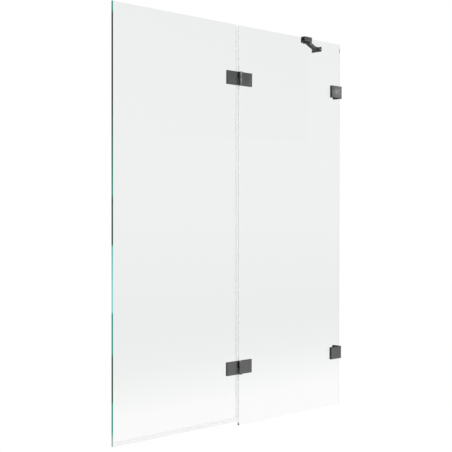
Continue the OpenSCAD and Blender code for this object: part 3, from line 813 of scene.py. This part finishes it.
class BATHSCREEN_OT_linings(bpy.types.Operator):
    """Gaskets between the plates and the glass, and the lining of the clamp"""
    bl_idname = "bathscreen.linings"
    bl_label = "Linings"

    def execute(self, context):
        rubber = moulded_plastic("moulded_rubber", context.scene.bathscreen_soft.rubber, 0.6, RUBBER_GRAIN)
        room = (1, -1)
        for node, name, body, pane, sides in (
                ("wall_bracket_gaskets", "lining_brackets", FIXED, "fixed_glass", (room,)),
                ("fixed_leaf_gaskets", "lining_fixed_leaves", FIXED, "fixed_glass", (room,)),
                ("door_leaf_gaskets", "lining_door_leaves", DOOR, "door_glass", (room,)),
                ("clamp_gasket", "lining_clamp", FIXED, "fixed_glass", (room, (1, 1), (2, 1)))):
            piece = copy_of(node, name)
            ease_off(piece, pane, sides)
            round_edges(piece, FINE_ROUND, 1)
            finish_piece(piece, body, "gasket_rubber", [rubber], node)
        return {"FINISHED"}


class BATHSCREEN_OT_small_parts(bpy.types.Operator):
    """Cones, sleeves and the pressure plate"""
    bl_idname = "bathscreen.small_parts"
    bl_label = "Small parts"

    def execute(self, context):
        soft = context.scene.bathscreen_soft
        nylon = moulded_plastic("moulded_nylon", soft.nylon, 0.45, NYLON_GRAIN)
        for slot, material in (("stainless_steel", bpy.data.materials["turned_stainless"]), ("nylon", nylon)):
            for part in frame["record"]["subparts"]:
                if part["material_slot"] == slot:
                    node = frame["nodes"][part["node"]]
                    node.data.materials.clear()
                    node.data.materials.append(material)
        return {"FINISHED"}


# Stage

def aim(thing, target):
    """Points a lamp or a card at a target."""
    thing.rotation_euler = (Vector(target) - thing.location).to_track_quat("-Z", "Y").to_euler()


def soft_lamp(name, place_at, target, size, power):
    """Square lamp, aimed at a target."""
    lamp = bpy.data.objects.new(name, bpy.data.lights.new(name, "AREA"))
    lamp.data.shape = "RECTANGLE"
    lamp.data.size, lamp.data.size_y = size
    lamp.data.energy = power
    lamp.location = place_at
    lamp.visible_camera = False
    bpy.context.scene.collection.objects.link(lamp)
    aim(lamp, target)


class BATHSCREEN_OT_stage(bpy.types.Operator):
    """White floor, even light, soft lamps, flags and the camera"""
    bl_idname = "bathscreen.stage"
    bl_label = "Stage"

    def execute(self, context):
        scene = context.scene
        settings = scene.bathscreen_stage
        scene.view_settings.view_transform = "Standard"

        camera = bpy.data.objects.new("camera", bpy.data.cameras.new("camera"))
        scene.collection.objects.link(camera)
        scene.camera = camera
        camera.location = settings.eye
        camera.rotation_euler = (math.radians(90) + settings.tilt, settings.roll, -settings.turn)
        camera.data.lens = settings.lens
        camera.data.sensor_width = 36
        camera.data.clip_end = 100

        world = bpy.data.worlds.new("even_light")
        scene.world = world
        world.use_nodes = True
        tree = world.node_tree
        tree.nodes.clear()
        seen = self.seen_rays(tree)
        plain = add_node(tree, "ShaderNodeBackground", (0, 100),
                         values={"Color": settings.backdrop, "Strength": settings.sky})
        white = add_node(tree, "ShaderNodeBackground", (0, -100),
                         values={"Color": settings.backdrop, "Strength": 1.0})
        mix = add_node(tree, "ShaderNodeMixShader", (200, 0),
                       links={0: seen, 1: plain.outputs[0], 2: white.outputs[0]})
        add_node(tree, "ShaderNodeOutputWorld", (400, 0), links={"Surface": mix.outputs[0]})

        low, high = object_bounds()
        deselect()
        bpy.ops.mesh.primitive_circle_add(vertices=96, radius=FLOOR_RADIUS, fill_type="NGON",
                                          location=((low.x + high.x) / 2, 0, low.z - FLOOR_DROP))
        floor = bpy.context.object
        floor.name = "floor"
        place(floor)
        floor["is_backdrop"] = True
        paint, tree, shader = new_material("painted_floor", settings.backdrop, **{"Roughness": 0.9})
        glow = add_node(tree, "ShaderNodeEmission", (0, -400),
                        values={"Color": settings.backdrop, "Strength": FLOOR_GLOW})
        share = add_node(tree, "ShaderNodeMath", (0, -600), operation="MULTIPLY",
                         links={0: self.seen_rays(tree)}, values={1: FLOOR_WHITE})
        mix = add_node(tree, "ShaderNodeMixShader", (200, -200),
                       links={0: share.outputs[0], 1: shader.outputs[0], 2: glow.outputs[0]})
        end = [n for n in tree.nodes if n.type == "OUTPUT_MATERIAL"][0]
        tree.links.new(mix.outputs[0], end.inputs["Surface"])
        floor.data.materials.append(paint)

        soft_lamp("key_lamp", place_at=(-1.2, -3.6, 2.6), target=(-0.6, 0, 0.5), size=(2.4, 2.4),
                  power=settings.key)
        soft_lamp("side_lamp", place_at=(0.67, -0.583, 1.192), target=(-0.04, 0, 1.08), size=(0.05, 0.05),
                  power=settings.side)
        dark = self.flag_paint("dark_flag_paint", settings.flag)
        self.flag("flag_left", place_at=(-1.9, 1.5, 0.9), target=(-0.5, 0, 0.6), size=(2.6, 2.8), paint=dark)
        self.flag("flag_back", place_at=(1.3, 1.35, 0.9), target=(-0.1, 0.05, 1.2), size=(1.6, 2.2),
                  paint=dark)
        pale = self.flag_paint("pale_flag_paint", settings.shade)
        self.flag("flag_high", place_at=(1.35, -2.15, 1.95), target=(-0.61, 0, 1.1), size=(1.3, 1.8),
                  paint=pale)
        return {"FINISHED"}

    def flag_paint(self, name, colour):
        """Even grey of a flag, whatever light falls on it."""
        paint, tree = new_material(name, colour)[:2]
        glow = add_node(tree, "ShaderNodeEmission", (0, -400), values={"Color": colour, "Strength": 1.0})
        end = [n for n in tree.nodes if n.type == "OUTPUT_MATERIAL"][0]
        tree.links.new(glow.outputs[0], end.inputs["Surface"])
        return paint

    def flag(self, name, place_at, target, size, paint):
        """Card that only gloss shows: it gives the metal something darker than the ground to mirror."""
        deselect()
        bpy.ops.mesh.primitive_plane_add(size=1, location=place_at)
        card = bpy.context.object
        card.name = card.data.name = name
        card.scale = (size[0], size[1], 1)
        aim(card, target)
        place(card)
        card.data.materials.append(paint)
        card.visible_camera = card.visible_diffuse = card.visible_transmission = False
        card.visible_shadow = card.visible_volume_scatter = False
        card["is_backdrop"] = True

    def seen_rays(self, tree):
        """1 for rays from the camera, a gloss or a see-through surface, so they meet plain white."""
        path = add_node(tree, "ShaderNodeLightPath", (-800, -300))
        first = add_node(tree, "ShaderNodeMath", (-500, -300), operation="MAXIMUM",
                         links={0: path.outputs["Is Camera Ray"], 1: path.outputs["Is Glossy Ray"]})
        both = add_node(tree, "ShaderNodeMath", (-300, -300), operation="MAXIMUM",
                        links={0: first.outputs[0], 1: path.outputs["Is Transmission Ray"]})
        return both.outputs[0]


class BATHSCREEN_PT_panel(bpy.types.Panel):
    """Lists the settings and the pieces"""
    bl_idname = "BATHSCREEN_PT_panel"
    bl_label = "Bath screen"
    bl_space_type = "VIEW_3D"
    bl_region_type = "UI"
    bl_category = "Bath screen"

    def draw(self, context):
        for title, group in (("Glass", context.scene.bathscreen_glass),
                             ("Metal", context.scene.bathscreen_metal),
                             ("Soft parts", context.scene.bathscreen_soft),
                             ("Stage", context.scene.bathscreen_stage)):
            box = self.layout.box()
            box.label(text=title)
            for name in group.__annotations__:
                box.prop(group, name)
        for operator in OPERATORS:
            self.layout.operator(operator.bl_idname)


OPERATORS = (
    BATHSCREEN_OT_panes, BATHSCREEN_OT_brackets, BATHSCREEN_OT_hinges, BATHSCREEN_OT_support,
    BATHSCREEN_OT_seals, BATHSCREEN_OT_screws, BATHSCREEN_OT_pins, BATHSCREEN_OT_linings,
    BATHSCREEN_OT_small_parts, BATHSCREEN_OT_stage,
)
GROUPS = (GlassSettings, MetalSettings, SoftSettings, StageSettings)


def register():
    """Registers the settings, the operators and the panel."""
    for group in GROUPS + OPERATORS + (BATHSCREEN_PT_panel,):
        bpy.utils.register_class(group)
    bpy.types.Scene.bathscreen_glass = PointerProperty(type=GlassSettings)
    bpy.types.Scene.bathscreen_metal = PointerProperty(type=MetalSettings)
    bpy.types.Scene.bathscreen_soft = PointerProperty(type=SoftSettings)
    bpy.types.Scene.bathscreen_stage = PointerProperty(type=StageSettings)


def unregister():
    """Removes what register added."""
    for name in ("glass", "metal", "soft", "stage"):
        delattr(bpy.types.Scene, "bathscreen_" + name)
    for group in reversed(GROUPS + OPERATORS + (BATHSCREEN_PT_panel,)):
        bpy.utils.unregister_class(group)


def main():
    register()
    brushed_gunmetal(bpy.context.scene.bathscreen_metal)
    shaded_blasted_gunmetal(bpy.context.scene.bathscreen_metal)
    for operator in OPERATORS:
        group, name = operator.bl_idname.split(".")
        getattr(getattr(bpy.ops, group), name)()


if __name__ == "__main__":
    main()
